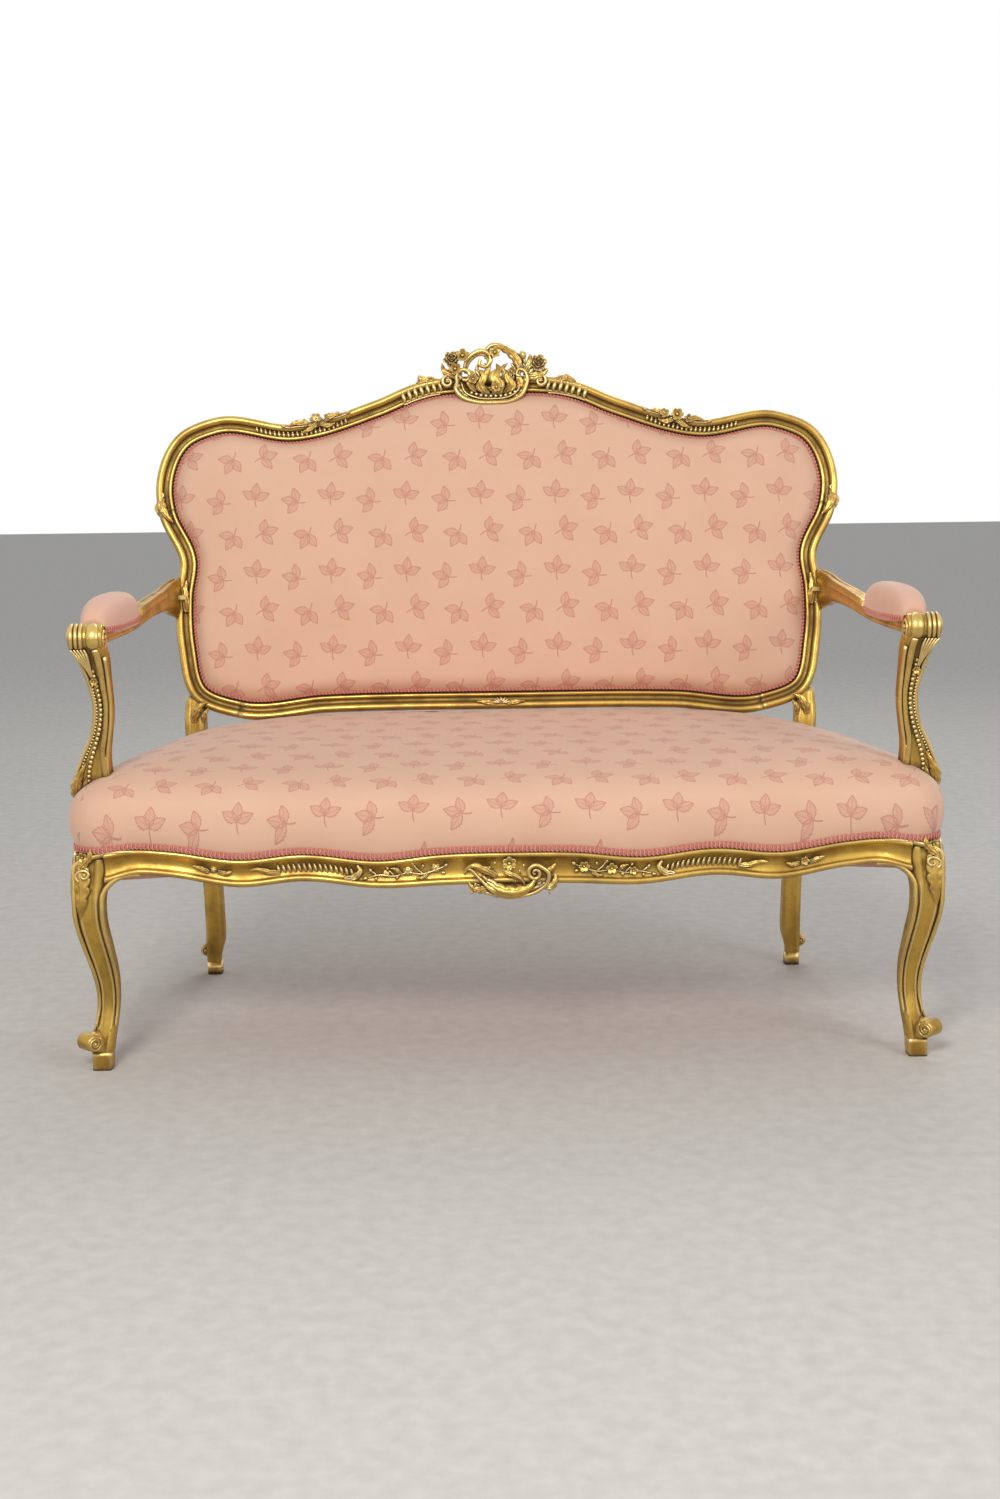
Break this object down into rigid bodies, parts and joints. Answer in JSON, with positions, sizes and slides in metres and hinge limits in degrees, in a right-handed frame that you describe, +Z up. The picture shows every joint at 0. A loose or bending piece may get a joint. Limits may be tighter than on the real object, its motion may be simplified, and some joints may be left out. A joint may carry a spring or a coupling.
{
  "type": "settee",
  "caption": "Carved giltwood settee with a serpentine seat, open padded arms, cabriole legs and a shaped padded back with a rocaille cresting, in leaf damask.",
  "frame": {"origin": "on the floor, under the middle of the settee's overall box", "axes": "+X runs to the right of someone who faces the settee, along its length; -Y is the front, where a sitter's legs are; +Z is up"},
  "size_m": [1.311, 0.7259, 1.0915],
  "materials": {
    "giltwood": "carved beech, water gilt over gesso and bole, worn satin",
    "gilt_carving": "carved and gilt, burnished high points",
    "bare_beech": "raw sawn and planed",
    "steel": "black drawn wire and cut nails",
    "webbing": "woven jute herringbone",
    "hessian": "open jute weave",
    "stuffing": "hair and wadding",
    "leaf_damask": "salmon woven satin with scattered leaf sprigs",
    "pad_cloth": "salmon woven satin",
    "rose_gimp": "braided scroll gimp",
    "lining_cloth": "plain pink cotton"
  },
  "bodies": {
    "root": {"front_seat_rail": "giltwood", "right_side_seat_rail": "giltwood", "left_side_seat_rail": "giltwood", "back_seat_rail": "bare_beech", "centre_seat_brace": "bare_beech", "right_front_leg": "giltwood", "left_front_leg": "giltwood", "right_back_leg": "giltwood", "left_back_leg": "giltwood", "crest_rail": "giltwood", "back_lower_rail": "giltwood", "right_armrest": "giltwood", "left_armrest": "giltwood", "right_arm_support": "giltwood", "left_arm_support": "giltwood", "right_front_corner_block": "bare_beech", "left_front_corner_block": "bare_beech", "right_back_corner_block": "bare_beech", "left_back_corner_block": "bare_beech", "block_nails": "steel", "joint_pegs": "bare_beech", "seat_webbing": "webbing", "seat_springs": "steel", "seat_hessian": "hessian", "seat_stuffing": "stuffing", "seat_cover": "leaf_damask", "seat_gimp": "rose_gimp", "dust_cover": "lining_cloth", "back_webbing": "webbing", "back_hessian": "hessian", "back_stuffing": "stuffing", "inside_back_cover": "leaf_damask", "outside_back_cover": "leaf_damask", "back_gimp": "rose_gimp", "right_arm_pad_stuffing": "stuffing", "left_arm_pad_stuffing": "stuffing", "right_arm_pad_cover": "pad_cloth", "left_arm_pad_cover": "pad_cloth", "right_arm_pad_gimp": "rose_gimp", "left_arm_pad_gimp": "rose_gimp", "crest_cartouche": "gilt_carving", "right_crest_flower_spray": "gilt_carving", "left_crest_flower_spray": "gilt_carving", "right_shoulder_leaf": "gilt_carving", "left_shoulder_leaf": "gilt_carving", "right_corner_leaf": "gilt_carving", "left_corner_leaf": "gilt_carving", "rail_cartouche": "gilt_carving", "right_rail_flower_spray": "gilt_carving", "left_rail_flower_spray": "gilt_carving", "right_knee_leaf": "gilt_carving", "left_knee_leaf": "gilt_carving"}
  },
  "joints": []
}
